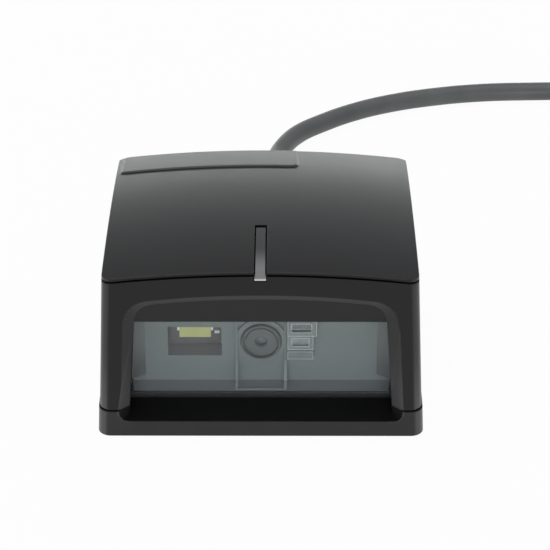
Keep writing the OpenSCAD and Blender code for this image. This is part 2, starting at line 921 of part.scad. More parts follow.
// Screws of the lens holder
module holder_screws() {
    color(bright_metal)
        for (side = [-1, 1])
            translate([side * post_x, holder_y + 1.4, post_z])
                rotate([-90, 0, 0])
                    dome_screw(small_d, holder_screw_len, small_head_d, small_head_h);
}

// Screws of the lamp board
module lamp_screws() {
    color(bright_metal)
        for (side = [-1, 1])
            translate([side * (lamp_board_half - 2), lamp_board_back, post_z])
                rotate([-90, 0, 0])
                    dome_screw(small_d, lamp_screw_len, small_head_d, small_head_h);
}

// Screws of the engine chassis
module engine_screws() {
    color(bright_metal)
        for (side = [-1, 1])
            translate([side * ear_x, ear_y, tub_floor])
                dome_screw(small_d, engine_screw_len, small_head_d, small_head_h);
}

// Flat ribbon from the sensor board down to the decoder board
module flex_ribbon() {
    from = [sensor_board_back + 0.9, lens_z + 1.2];
    to = [socket_front, board_top + 0.7];
    steps = 12;
    edge = [for (i = [0:steps])
        let (t = i / steps, ease = 3 * t * t - 2 * t * t * t)
        [from[0] + (to[0] - from[0]) * t, from[1] + (to[1] - from[1]) * ease]];
    color("#a8702c")
        translate([-4, 0, 0])
            rotate([90, 0, 90])
                linear_extrude(8)
                    polygon(concat([for (p = edge) p + [0, 0.12]],
                                   [for (i = [steps:-1:0]) edge[i] - [0, 0.12]]));
}

// Ribbon sockets on both boards
module flex_sockets() {
    color("#cfc9b8") {
        span([-4.8, sensor_board_back, lens_z + 0.2], [4.8, sensor_board_back + 0.9, lens_z + 2.2]);
        span([-4.8, socket_front, board_top], [4.8, socket_rear, board_top + 1.4]);
    }
}

// Decoder board on its four standoffs
module decoder_board() {
    color(board_green)
        difference() {
            span([-board_half, board_front, board_z], [board_half, board_rear, board_top]);
            at_standoffs()
                translate([0, 0, board_z - 1])
                    cylinder(d = small_d + 2 * fit, h = board_t + 2);
        }
}

// Processor, memory and power chips on the decoder board
module decoder_chips() {
    middle = (socket_rear + header_front) / 2;
    power_y = beeper_at[1] - beeper_d / 2 - chip_gap - power_w / 2;
    color(chip_black) {
        translate([0, middle, board_top + chip_h / 2])
            cube([chip_w, chip_deep, chip_h], center = true);
        translate([-chip_w / 2 - chip_gap - memory_w / 2, middle, board_top + memory_h / 2])
            cube([memory_w, memory_deep, memory_h], center = true);
        translate([beeper_at[0], power_y, board_top + memory_h / 2])
            cube([power_w, power_w, memory_h], center = true);
    }
}

// Round beeper with its sound hole
module beeper() {
    color("#202022")
        translate([beeper_at[0], beeper_at[1], board_top])
            difference() {
                cylinder(d = beeper_d, h = 4);
                translate([0, 0, 3])
                    cylinder(d = 1.4, h = 2);
            }
}

// Header for the cable on the rear edge of the decoder board
module cable_header() {
    color("#e4dfcf")
        difference() {
            span([-6, header_front, board_top], [6, board_rear - 0.6, board_top + 4.6]);
            span([-5, header_front + 1, board_top + 1], [5, board_rear + 1, board_top + 4]);
        }
}

// Crimp plug in the header, with five wires that run to the strain relief
module wire_harness() {
    color("#d9d4c4")
        span([-5 + fit, header_front + 1, board_top + 1], [5 - fit, board_rear + 0.4, board_top + 4 - fit]);
    color("#7b2f2f")
        for (i = [-2:2])
            translate([i * 1.4, inner_rear - 1.2, cable_z - 0.6])
                rotate([90, 0, 0])
                    cylinder(d = 1, h = inner_rear - 1.2 - board_rear - 0.4);
}

// Screws of the decoder board
module board_screws() {
    color(bright_metal)
        at_standoffs()
            translate([0, 0, board_top])
                dome_screw(small_d, board_screw_len, small_head_d, small_head_h);
}

// Case screws, driven up through the tray into the cover's bosses
module case_screws() {
    color(bright_metal)
        at_case_screws()
            translate([0, 0, head_h + fit])
                mirror([0, 0, 1])
                    dome_screw(screw_d, case_screw_len, head_d, head_h);
}

// Brass inserts for mounting screws in the underside
module mount_inserts() {
    color(brass)
        at_inserts()
            difference() {
                cylinder(d = insert_d, h = insert_h);
                translate([0, 0, -1])
                    cylinder(d = mount_d, h = insert_h + 2);
            }
}

// Tapered, ringed strain relief with a flange on each side of the rear wall
module strain_relief() {
    hole_r = cable_d / 2 + 1.35 - fit;
    tip_r = cable_d / 2 + 0.55;
    rings = 4;
    pitch = (relief_len - 3) / rings;
    flange = 1.1;
    ridges = [for (i = [0:rings - 1], s = [0, 0.62, 0.64, 0.98])
        let (y = 1.6 + (i + s) * pitch, r = hole_r + 0.4 + (tip_r - hole_r - 0.4) * (i + s) / rings)
        [r - (s > 0.63 ? 0.45 : 0), y]];
    color("#2a2a2c")
        translate([0, rear_y, cable_z])
            rotate([-90, 0, 0])
                rotate_extrude()
                    polygon(concat(
                        [[0, inner_rear - 1.2 - rear_y], [hole_r + 0.9, inner_rear - 1.2 - rear_y],
                         [hole_r + 0.9, inner_rear - rear_y], [hole_r, inner_rear - rear_y],
                         [hole_r, -base_step], [hole_r + flange, -base_step], [hole_r + flange, 1.2]],
                        ridges,
                        [[tip_r, relief_len - 1], [tip_r - 0.3, relief_len], [0, relief_len]]));
}

// Ring of points round a route point, square to the route
function ring_at(route, i, r, sides) =
    let (n = len(route) - 1,
         ahead = route[min(i + 1, n)] - route[max(i - 1, 0)],
         t = ahead / norm(ahead),
         side = cross(t, [0, 0, 1]) / norm(cross(t, [0, 0, 1])),
         up = cross(side, t))
    [for (k = [0:sides - 1]) route[i] + r * (cos(360 * k / sides) * side + sin(360 * k / sides) * up)];

// Round tube swept along a route
module swept_tube(route, d) {
    sides = 8;
    n = len(route);
    points = [for (i = [0:n - 1]) each ring_at(route, i, d / 2, sides)];
    walls = [for (i = [0:n - 2], k = [0:sides - 1])
        let (a = i * sides + k, b = i * sides + (k + 1) % sides)
        each [[a, a + sides, b], [b, a + sides, b + sides]]];
    polyhedron(
        points,
        concat([[for (k = [0:sides - 1]) k]], walls, [[for (k = [sides - 1:-1:0]) (n - 1) * sides + k]]));
}

// Cable from the strain relief along the floor to the coil
module cable_run() {
    color(cable_grey)
        swept_tube(run_route, cable_d);
}

// Outer shape of the coiled length, lying on its ties
module cable_coil() {
    color(cable_grey)
        translate([coil_at[0], coil_at[1], coil_lift])
            rotate_extrude()
                translate([coil_in, 0])
                    square([coil_out - coil_in, coil_h]);
}

// Two straps round the coil
module coil_ties() {
    inner = sqrt(coil_in * coil_in - tie_w * tie_w / 4) - 0.1;
    outer = coil_out + 0.1;
    low = coil_lift - sliver;
    high = coil_lift + coil_h + sliver;
    color("#232325")
        for (turn = [135, 315])
            translate([coil_at[0], coil_at[1], 0])
                rotate(turn)
                    difference() {
                        span([inner - tie_t, -tie_w / 2, low - tie_t],
                             [outer + tie_t, tie_w / 2, high + tie_t]);
                        span([inner, -tie_w, low], [outer, tie_w, high]);
                    }
}

// Cable from the coil to the plug
module cable_tail() {
    color(cable_grey)
        swept_tube(tail_route, cable_d);
}

// Overmoulded grip of the plug with its tapered neck
module plug_grip() {
    color("#262628")
        translate([plug_x, plug_y, plug_z])
            rotate([90, 0, 0]) {
                cylinder(d1 = cable_d + 1, d2 = cable_d + 2.6, h = 7.2);
                translate([0, 0, 7])
                    linear_extrude(20) {
                        square([11, 7.6], center = true);
                        square([12.4, 6.2], center = true);
                    }
            }
}

// Folded metal shell of the plug
module plug_shell() {
    color(bright_metal)
        translate([plug_x, plug_y - 27, plug_z])
            rotate([90, 0, 0])
                difference() {
                    translate([-6, -2.25, 0])
                        cube([12, 4.5, 12]);
                    translate([-5.7, -1.95, -1])
                        cube([11.4, 3.9, 14]);
                    for (side = [-1, 1])
                        translate([side * 2.6 - 1.1, 1, 5])
                            cube([2.2, 2, 2.2]);
                }
}

// Contact tongue inside the plug's shell
module plug_insert() {
    color("#e8e8e4")
        translate([plug_x, plug_y - 27, plug_z])
            rotate([90, 0, 0])
                translate([-5.6, -1.85, 0])
                    cube([11.2, 1.9, 11.4]);
}

base_tray();
main_housing();
top_cover();
window_pane();
window_gasket();
light_pipe();
engine_chassis();
lens_barrel();
lens_element();
lens_holder();
sensor_board();
image_sensor();
lamp_board();
lamp_package();
lamp_phosphor();
lamp_terminals();
indicator_lamp();
chip_resistors();
aimer_holder();
aimer_lens();
aimer_lamp();
holder_screws();
lamp_screws();
engine_screws();
flex_ribbon();
flex_sockets();
decoder_board();
decoder_chips();
beeper();
cable_header();
wire_harness();
board_screws();
case_screws();
mount_inserts();
strain_relief();
cable_run();
cable_coil();
coil_ties();
cable_tail();
plug_grip();
plug_shell();
plug_insert();
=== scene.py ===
"""Looks of a compact fixed barcode reader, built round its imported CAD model.

The mouldings, the imaging engine and the plug are the CAD model's own solids with procedural finishes.
The cable is one smooth curve. Lengths are in metres and angles in degrees, in the CAD model's frame.
"""

import math

import bmesh
import bpy
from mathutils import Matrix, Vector


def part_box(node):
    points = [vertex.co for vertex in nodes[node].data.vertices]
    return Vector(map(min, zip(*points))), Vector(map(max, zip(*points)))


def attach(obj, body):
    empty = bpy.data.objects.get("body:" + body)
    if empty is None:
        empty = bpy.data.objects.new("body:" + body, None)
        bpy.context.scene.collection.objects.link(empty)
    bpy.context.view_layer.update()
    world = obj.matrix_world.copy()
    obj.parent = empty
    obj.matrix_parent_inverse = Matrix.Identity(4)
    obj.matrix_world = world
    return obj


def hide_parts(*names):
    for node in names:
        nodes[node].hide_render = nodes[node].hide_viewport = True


MM = 0.001

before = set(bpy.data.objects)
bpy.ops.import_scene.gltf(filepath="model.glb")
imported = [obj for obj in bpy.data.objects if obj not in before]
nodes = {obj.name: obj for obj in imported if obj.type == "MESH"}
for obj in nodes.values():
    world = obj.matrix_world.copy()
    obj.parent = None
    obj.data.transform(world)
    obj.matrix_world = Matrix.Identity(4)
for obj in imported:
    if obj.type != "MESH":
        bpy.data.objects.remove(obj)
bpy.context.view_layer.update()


# Camera, fitted to the outline of the photograph
CAMERA_ELEVATION = 30.72
CAMERA_DISTANCE = 0.3898
CAMERA_AZIMUTH = 0.144
CAMERA_TARGET = Vector((0.00212, 0.0, 0.01329))
CAMERA_LENS = 159.5
CAMERA_SENSOR = 36.0


def place_camera():
    """Looks at the reader from the front and above."""
    data = bpy.data.cameras.new("camera")
    data.lens = CAMERA_LENS
    data.sensor_width = CAMERA_SENSOR
    camera = bpy.data.objects.new("camera", data)
    bpy.context.scene.collection.objects.link(camera)
    tilt = math.radians(CAMERA_ELEVATION)
    turn = math.radians(CAMERA_AZIMUTH)
    back = Vector((math.sin(turn) * math.cos(tilt), -math.cos(turn) * math.cos(tilt), math.sin(tilt)))
    camera.location = CAMERA_TARGET + back * CAMERA_DISTANCE
    camera.rotation_mode = "QUATERNION"
    camera.rotation_quaternion = (-back).to_track_quat("-Z", "Y")
    bpy.context.scene.camera = camera


# Cable: out of the strain relief, along the floor, into a coil of two layers and on to the plug.
# The knots of its run and tail are in millimetres.
CABLE_DIAMETER = 0.0035
CABLE_RUN = [
    (0.0, 38.0, 10.0), (0.0, 41.0, 10.0), (0.0, 44.5, 9.0), (0.2, 48.5, 7.1), (0.6, 53.0, 4.6),
    (1.3, 57.5, 2.6), (2.3, 62.0, 1.75), (3.7, 66.4, 1.75), (6.5, 71.4, 1.75), (11.0, 75.8, 1.75),
    (16.5, 80.0, 1.75), (23.4, 83.7, 1.75), (32.2, 86.7, 1.75), (42.0, 88.6, 1.75), (52.0, 89.2, 1.75),
    (62.0, 88.9, 2.0), (75.0, 87.8, 2.45),
]
CABLE_TAIL = [
    (114.3, 43.0, 5.4), (114.4, 39.5, 4.9), (114.5, 36.0, 4.4), (114.5, 33.5, 4.2), (114.5, 30.0, 4.2),
]
COIL_COLUMNS = 5
COIL_START = 90.0
COIL_SWEEP = 3330.0
COIL_STEP = 18.0
SINK_AT = 300.0
SINK_OVER = 60.0
CLIMB_AT = 1575.0
CLIMB_OVER = 70.0
SPREAD_AT = 1900.0
SPREAD_OVER = 80.0


def ease(value, start, span):
    """Smooth step from 0 to 1 over a span."""
    t = min(max((value - start) / span, 0.0), 1.0)
    return t * t * (3.0 - 2.0 * t)


def coil_points():
    """The coiled length: inwards on the lower layer, up at the core and outwards on the upper layer."""
    low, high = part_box("cable_coil")
    centre = (low + high) / 2
    outer = (high.x - low.x) / 2 - CABLE_DIAMETER / 2
    first_z = low.z + CABLE_DIAMETER / 2
    turns = [360.0 * k for k in range(COIL_COLUMNS - 1)]
    points = []
    for i in range(int(COIL_SWEEP / COIL_STEP) + 1):
        swept = i * COIL_STEP
        columns_in = sum(ease(swept, SINK_AT + turned, SINK_OVER) for turned in turns)
        columns_out = sum(ease(swept, SPREAD_AT + turned, SPREAD_OVER) for turned in turns)
        radius = outer - CABLE_DIAMETER * (columns_in - columns_out)
        turn = math.radians(COIL_START - swept)
        z = first_z + CABLE_DIAMETER * ease(swept, CLIMB_AT, CLIMB_OVER)
        points.append(Vector((centre.x + radius * math.cos(turn), centre.y + radius * math.sin(turn), z)))
    return points


def make_cable(material):
    """One open curve from the strain relief to the plug."""
    run = [Vector(p) * MM for p in CABLE_RUN]
    tail = [Vector(p) * MM for p in CABLE_TAIL]
    points = run + coil_points() + tail
    data = bpy.data.curves.new("data_cable", "CURVE")
    data.dimensions = "3D"
    data.bevel_depth = CABLE_DIAMETER / 2
    data.bevel_resolution = 5
    data.resolution_u = 5
    data.use_fill_caps = True
    spline = data.splines.new("BEZIER")
    spline.bezier_points.add(len(points) - 1)
    for knot, point in zip(spline.bezier_points, points):
        knot.co = point
        knot.handle_left_type = "AUTO"
        knot.handle_right_type = "AUTO"
    data.materials.append(material)
    cable = bpy.data.objects.new("data_cable", data)
    bpy.context.scene.collection.objects.link(cable)
    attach(cable, "root")
    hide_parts("cable_run", "cable_coil", "cable_tail")


# Case colours, and the roughness and grain of the black mouldings
BLACK = (0.0075, 0.0075, 0.008)
TRAY_BLACK = (0.025, 0.025, 0.0254)
# Painted highlights on chamfers, corners and edges, stronger near the foot and on the pad's bevel
PAINTED_EDGE_HIGHLIGHT = (0.036, 0.036, 0.037)
PAINTED_FOOT_HIGHLIGHT = (0.075, 0.075, 0.077)
PAINTED_PAD_HIGHLIGHT = (0.17, 0.17, 0.172)
# Painted shade: near black in recesses, at seams and in the slot
PAINTED_SHADE_BLACK = (0.002, 0.002, 0.002)
CASE_ROUGH = (0.295, 0.31)
EDGE_HIGHLIGHT_ROUGH = 0.24
RECESS_ROUGH = 0.75
CASE_GRAIN_DEPTH = 0.0000012
CASE_EDGE = 0.00022
WEAK_SPECULAR = 0.25
FOOT_TOP = 0.016
FOOT_BOTTOM = 0.004

# Places on the case: the tray's scoop and seam, the roof's ball, the cover's rim, the hood and the slot
SCOOP_HALF = 0.0216
SCOOP_SIDE_FADE = 0.0003
SCOOP_LOW = 0.0021
SCOOP_LOW_FADE = 0.0005
SCOOP_END_START = 0.0022
SCOOP_END_STOP = 0.0014
LIP_START = -0.0003
LIP_STOP = 0.0005
LIP_END_START = 0.00003
LIP_END_STOP = 0.0003
SEAM_HEIGHT = 0.0044
SEAM_FAR = 0.0002
SEAM_NEAR = 0.00005
SEAM_SHADE = 0.8
DOME_CENTRE = (0.0, -0.026, -0.1669)
DOME_RADIUS = 0.196
PAD_START = 0.00001
PAD_RISE = 0.00006
RIM_START = 0.00004
RIM_STOP = 0.00042
RIM_CLEAR = 0.0245
RIM_FULL = 0.019
UNDER_RIM_START = 0.0012
UNDER_RIM_STOP = 0.0007
UNDER_RIM_SHADE = 0.6
HOOD_HALF = 0.0213
HOOD_DEPTH = 0.001
HOOD_FADE = 0.0001
HOOD_FACING = (0.8, 0.9)
SLOT_HALF = 0.00095
SLOT_END = -0.01064
SLOT_LOW = 0.0274
SLOT_FADE = 0.00003

# Light pipe: painted glow towards its front end and a painted highlight along its lip
PIPE_GLOW_START = 0.008
PIPE_GLOW_STOP = 0.0005
PIPE_LIP = 0.02765
PIPE_LIP_START = 0.0004
PIPE_LIP_STOP = 0.0002
PIPE_DARK = (0.016, 0.017, 0.0175)
PIPE_PALE = (0.18, 0.182, 0.186)
PIPE_LIP_HIGHLIGHT = (0.6, 0.6, 0.6)

# Engine and boards; ENGINE_LOW and ENGINE_FLOOR are painted light, ENGINE_SIDE is painted shade
ENGINE_TOP = 0.011
ENGINE_BOTTOM = 0.005
ENGINE_GREY = (0.148, 0.165, 0.164)
ENGINE_LOW = (0.196, 0.212, 0.218)
ENGINE_FLOOR = (0.245, 0.244, 0.258)
ENGINE_SIDE = (0.139, 0.137, 0.141)
ENGINE_FLOOR_FACING = (0.6, 0.9)
ENGINE_SIDE_FACING = (0.2, 0.45)
AIMER_GREY = (0.164, 0.177, 0.177)
AIMER_EDGE_HIGHLIGHT = (0.78, 0.8, 0.8)
DARK_GREY = (0.02, 0.021, 0.0215)
MASK_GREEN = (0.012, 0.07, 0.035)
MASK_GREY = (0.094, 0.09, 0.097)
SOLDER = (0.75, 0.75, 0.75)
SOLDER_LOW = 0.01
SOLDER_HIGH = 0.0107
SOLDER_FADE = 0.0001

# Window pane
PANE_TINT = (0.93, 0.97, 0.97, 1.0)
PANE_SHADOW_TINT = (0.9, 0.93, 0.93, 1.0)
PANE_IOR = 1.18
PANE_FILM = (0.8, 0.8, 0.82, 1.0)
PANE_FILM_SHARE = 0.025

# Noise that varies colour, gloss and grain: its size and detail, and the part of its range that is used
CLOUD_SIZE = 0.006
CLOUD_DETAIL = 3.0
GLOSS_SIZE = 0.0035
GLOSS_DETAIL = 4.0
GRAIN_SIZE = 0.00022
GRAIN_DETAIL = 1.0
GRAIN_DEPTH = 0.000006
NOISE_LOW = 0.3
NOISE_HIGH = 0.7

# Cosine of a face's turn at which its painted edge highlight starts, and at which it is full
EDGE_HIGHLIGHT_START = 0.965
EDGE_HIGHLIGHT_STOP = 0.88
EDGE_SAMPLES = 6


# Shader nodes


def start_material(name):
    """A new node material: its tree and its main shader."""
    material = bpy.data.materials.new(name)
    material.use_nodes = True
    tree = material.node_tree
    shader = tree.nodes["Principled BSDF"]
    return material, tree, shader


def feed(tree, socket, value):
    """Puts a plain number, a plain colour or another node's output into a socket."""
    if isinstance(value, float):
        socket.default_value = value
    elif isinstance(value, tuple):
        socket.default_value = (*value, 1.0)
    else:
        tree.links.new(value, socket)


def coordinate_axes(tree, kind):
    """X, Y and Z of coordinates: Object is the place, Normal the way that the surface faces."""
    place = tree.nodes.new("ShaderNodeTexCoord")
    axes = tree.nodes.new("ShaderNodeSeparateXYZ")
    tree.links.new(place.outputs[kind], axes.inputs["Vector"])
    return axes.outputs


def object_noise(tree, size, detail, stretch=(1.0, 1.0, 1.0)):
    """Noise on Object coordinates whose features have a given size."""
    place = tree.nodes.new("ShaderNodeTexCoord")
    mapping = tree.nodes.new("ShaderNodeMapping")
    mapping.inputs["Scale"].default_value = stretch
    noise = tree.nodes.new("ShaderNodeTexNoise")
    noise.inputs["Scale"].default_value = 1.0 / size
    noise.inputs["Detail"].default_value = detail
    tree.links.new(place.outputs["Object"], mapping.inputs["Vector"])
    tree.links.new(mapping.outputs["Vector"], noise.inputs["Vector"])
    return noise.outputs["Fac"]


def ramp(tree, value, start, stop, low=0.0, high=1.0, smooth=False):
    """From low where a value is at start to high where it is at stop."""
    ranged = tree.nodes.new("ShaderNodeMapRange")
    if smooth:
        ranged.interpolation_type = "SMOOTHSTEP"
    ranged.inputs["From Min"].default_value = start
    ranged.inputs["From Max"].default_value = stop
    ranged.inputs["To Min"].default_value = low
    ranged.inputs["To Max"].default_value = high
    tree.links.new(value, ranged.inputs["Value"])
    return ranged.outputs["Result"]


def spread(tree, noise, low, high):
    """Maps the middle of a noise to a range of values."""
    return ramp(tree, noise, NOISE_LOW, NOISE_HIGH, low, high)


def maths(tree, operation, *values):
    """Result of an operation on values, each plain or varying."""
    node = tree.nodes.new("ShaderNodeMath")
    node.operation = operation
    for socket, value in zip(node.inputs, values):
        feed(tree, socket, value)
    return node.outputs["Value"]


def product(tree, first, second):
    """Two values multiplied."""
    return maths(tree, "MULTIPLY", first, second)


def either(tree, first, second):
    """The larger of two values."""
    return maths(tree, "MAXIMUM", first, second)


def size_of(tree, value):
    """A value without its sign."""
    return maths(tree, "ABSOLUTE", value)


def blend(tree, kind, share, first, second):
    """Between two values or colours, each plain or varying, by a share from 0 to 1."""
    mix = tree.nodes.new("ShaderNodeMix")
    mix.data_type = kind
    tree.links.new(share, mix.inputs["Factor"])
    feed(tree, mix.inputs["A"], first)
    feed(tree, mix.inputs["B"], second)
    return mix.outputs["Result"]


def blend_values(tree, share, first, second):
    """Value between two, by a share from 0 to 1."""
    return blend(tree, "FLOAT", share, first, second)


def blend_colours(tree, share, first, second):
    """Colour between two, by a share from 0 to 1."""
    return blend(tree, "RGBA", share, first, second)


def blend_shaders(tree, share, first, second):
    """Shader between two, by a share from 0 to 1."""
    mix = tree.nodes.new("ShaderNodeMixShader")
    feed(tree, mix.inputs["Fac"], share)
    tree.links.new(first, mix.inputs[1])
    tree.links.new(second, mix.inputs[2])
    return mix.outputs["Shader"]


def tinted(colour, factor):
    """A colour made lighter or darker."""
    return tuple(c * factor for c in colour)


def mottled(tree, noise, colour, low, high):
    """A colour that varies with a noise between two tints of it."""
    share = spread(tree, noise, 0.0, 1.0)
    return blend_colours(tree, share, tinted(colour, low), tinted(colour, high))


def soft_normal(tree, radius):
    """Direction that the surface faces, with edges softened over a small radius."""
    bevel = tree.nodes.new("ShaderNodeBevel")
    bevel.samples = EDGE_SAMPLES
    bevel.inputs["Radius"].default_value = radius
    return bevel.outputs["Normal"]


def grain(tree, shader, height, depth, edge):
    """Bump from a height, on edges that a small radius softens."""
    bump = tree.nodes.new("ShaderNodeBump")
    bump.inputs["Distance"].default_value = depth
    tree.links.new(height, bump.inputs["Height"])
    if edge > 0:
        tree.links.new(soft_normal(tree, edge), bump.inputs["Normal"])
    tree.links.new(bump.outputs["Normal"], shader.inputs["Normal"])


def painted_highlight_mask(tree, edge):
    """Share of painted highlight: from 0 on a square face to 1 on a chamfer, a rounded corner or a
    softened edge.
    """
    size = tree.nodes.new("ShaderNodeVectorMath")
    size.operation = "ABSOLUTE"
    tree.links.new(soft_normal(tree, edge), size.inputs[0])
    axes = tree.nodes.new("ShaderNodeSeparateXYZ")
    tree.links.new(size.outputs["Vector"], axes.inputs["Vector"])
    widest = either(tree, either(tree, axes.outputs["X"], axes.outputs["Y"]), axes.outputs["Z"])
    return ramp(tree, widest, EDGE_HIGHLIGHT_START, EDGE_HIGHLIGHT_STOP)


# Painted shade on the case


def scoop_shade(tree):
    """Painted shade, with a rough finish, in the scoop of the tray, fading out over its front lip, and
    painted shade at the tray's seam.
    """
    low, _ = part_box("base_tray")
    axes = coordinate_axes(tree, "Object")
    side = size_of(tree, axes["X"])
    across = ramp(tree, side, SCOOP_HALF + SCOOP_SIDE_FADE, SCOOP_HALF)
    above = ramp(tree, axes["Z"], SCOOP_LOW, SCOOP_LOW + SCOOP_LOW_FADE, smooth=True)
    lip = ramp(tree, axes["Y"], low.y + LIP_START, low.y + LIP_STOP, smooth=True)
    lip_ends = ramp(tree, axes["Y"], low.y + LIP_END_START, low.y + LIP_END_STOP)
    end_share = ramp(tree, side, SCOOP_HALF - SCOOP_END_START, SCOOP_HALF - SCOOP_END_STOP)
    front = blend_values(tree, end_share, lip, lip_ends)
    scoop = product(tree, product(tree, across, above), front)
    seam = ramp(tree, axes["Z"], SEAM_HEIGHT - SEAM_FAR, SEAM_HEIGHT - SEAM_NEAR)
    return either(tree, scoop, product(tree, seam, SEAM_SHADE))


def slot_shade(tree):
    """Share of painted shade: 1 on the walls of the slot that the light pipe lies in, else 0."""
    axes = coordinate_axes(tree, "Object")
    across = ramp(tree, size_of(tree, axes["X"]), SLOT_HALF + SLOT_FADE, SLOT_HALF)
    before = ramp(tree, axes["Y"], SLOT_END + SLOT_FADE, SLOT_END)
    above = ramp(tree, axes["Z"], SLOT_LOW - SLOT_FADE, SLOT_LOW)
    return product(tree, product(tree, across, above), before)


def dome_drop(tree):
    """Depth of a place below the ball that the roof is cut from."""
    place = tree.nodes.new("ShaderNodeTexCoord")
    reach = tree.nodes.new("ShaderNodeVectorMath")
    reach.operation = "DISTANCE"
    reach.inputs[1].default_value = DOME_CENTRE
    tree.links.new(place.outputs["Object"], reach.inputs[0])
    return maths(tree, "SUBTRACT", DOME_RADIUS, reach.outputs["Value"])


def cover_shade(tree):
    """Painted shade in the slot, and down the rim of the cover towards its seam, less so at the corners.
    """
    rim = ramp(tree, dome_drop(tree), RIM_START, RIM_STOP)
    side = size_of(tree, coordinate_axes(tree, "Object")["X"])
    middle = ramp(tree, side, RIM_CLEAR, RIM_FULL)
    return either(tree, slot_shade(tree), product(tree, rim, middle))


def housing_shade(tree):
    """Painted shade in the slot, down the inner sides of the hood and at the seams of cover and tray."""
    low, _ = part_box("main_housing")
    axes = coordinate_axes(tree, "Object")
    facing = size_of(tree, coordinate_axes(tree, "Normal")["X"])
    sideways = ramp(tree, facing, *HOOD_FACING)
    hood_y = low.y + HOOD_DEPTH
    behind = ramp(tree, axes["Y"], hood_y - HOOD_FADE, hood_y + HOOD_FADE)
    inner = ramp(tree, size_of(tree, axes["X"]), HOOD_HALF + HOOD_FADE, HOOD_HALF - HOOD_FADE)
    throat = product(tree, product(tree, sideways, behind), inner)
    under = ramp(tree, dome_drop(tree), UNDER_RIM_START, UNDER_RIM_STOP)
    foot = ramp(tree, axes["Z"], SEAM_HEIGHT + SEAM_FAR, SEAM_HEIGHT + SEAM_NEAR)
    seams = either(tree, product(tree, under, UNDER_RIM_SHADE), product(tree, foot, SEAM_SHADE))
    return either(tree, either(tree, slot_shade(tree), throat), seams)


# Finishes


def moulded(name, colour, rough, grain_size, grain_depth, edge):
    """Moulded plastic or rubber: fine spark-eroded grain, soft edges and slightly uneven gloss."""
    material, tree, shader = start_material(name)
    cloud = object_noise(tree, CLOUD_SIZE, CLOUD_DETAIL)
    tree.links.new(mottled(tree, cloud, colour, low=0.9, high=1.1), shader.inputs["Base Color"])
    gloss = object_noise(tree, GLOSS_SIZE, GLOSS_DETAIL)
    tree.links.new(spread(tree, gloss, rough - 0.03, rough + 0.03), shader.inputs["Roughness"])
    grain(tree, shader, object_noise(tree, grain_size, GRAIN_DETAIL), grain_depth, edge)
    return material


def case_moulding(name, black, shade):
    """Black case plastic: finely grained, smoother with a painted highlight on chamfers, corners and
    edges, dark and rough with painted shade in recesses.
    """
    material, tree, shader = start_material(name)
    colour = mottled(tree, object_noise(tree, CLOUD_SIZE, CLOUD_DETAIL), black, low=0.9, high=1.1)
    rough = spread(tree, object_noise(tree, GLOSS_SIZE, GLOSS_DETAIL), *CASE_ROUGH)
    # Painted highlight on chamfers, corners and edges, stronger near the foot and on the pad's bevel
    highlight_share = painted_highlight_mask(tree, CASE_EDGE)
    foot = ramp(tree, coordinate_axes(tree, "Object")["Z"], FOOT_TOP, FOOT_BOTTOM, smooth=True)
    highlight_colour = blend_colours(tree, foot, PAINTED_EDGE_HIGHLIGHT, PAINTED_FOOT_HIGHLIGHT)
    pad = ramp(tree, dome_drop(tree), PAD_START, -PAD_RISE)
    highlight_colour = blend_colours(tree, pad, highlight_colour, PAINTED_PAD_HIGHLIGHT)
    colour = blend_colours(tree, highlight_share, colour, highlight_colour)
    rough = blend_values(tree, highlight_share, rough, EDGE_HIGHLIGHT_ROUGH)
    # Painted shade in recesses, at seams and in the slot
    level = shade(tree)
    tree.links.new(blend_colours(tree, level, colour, PAINTED_SHADE_BLACK), shader.inputs["Base Color"])
    tree.links.new(blend_values(tree, level, rough, RECESS_ROUGH), shader.inputs["Roughness"])
    grain(tree, shader, object_noise(tree, GRAIN_SIZE, GRAIN_DETAIL), CASE_GRAIN_DEPTH, CASE_EDGE)
    shader.inputs["Specular IOR Level"].default_value = WEAK_SPECULAR
    return material


def resistor_glaze(name):
    """Grey chip with one bright solder end."""
    material, tree, shader = start_material(name)
    height = coordinate_axes(tree, "Object")["Z"]
    above = ramp(tree, height, SOLDER_LOW, SOLDER_LOW + SOLDER_FADE)
    below = ramp(tree, height, SOLDER_HIGH, SOLDER_HIGH - SOLDER_FADE)
    cloud = object_noise(tree, size=0.0008, detail=2.0)
    body = mottled(tree, cloud, MASK_GREY, low=0.85, high=1.0)
    colour = blend_colours(tree, product(tree, above, below), body, SOLDER)
    tree.links.new(colour, shader.inputs["Base Color"])
    tree.links.new(spread(tree, cloud, low=0.35, high=0.45), shader.inputs["Roughness"])
    grain(tree, shader, object_noise(tree, 0.0001, GRAIN_DETAIL), depth=0.000002, edge=0.00005)
    return material


def metal(name, colour, rough, stretch):
    """Drawn or plated metal with fine streaks."""
    material, tree, shader = start_material(name)
    streaks = object_noise(tree, size=0.0004, detail=3.0, stretch=stretch)
    tree.links.new(mottled(tree, streaks, colour, low=0.92, high=1.0), shader.inputs["Base Color"])
    tree.links.new(spread(tree, streaks, rough - 0.06, rough + 0.06), shader.inputs["Roughness"])
    grain(tree, shader, streaks, depth=0.000004, edge=0.00008)
    shader.inputs["Metallic"].default_value = 1.0
    return material


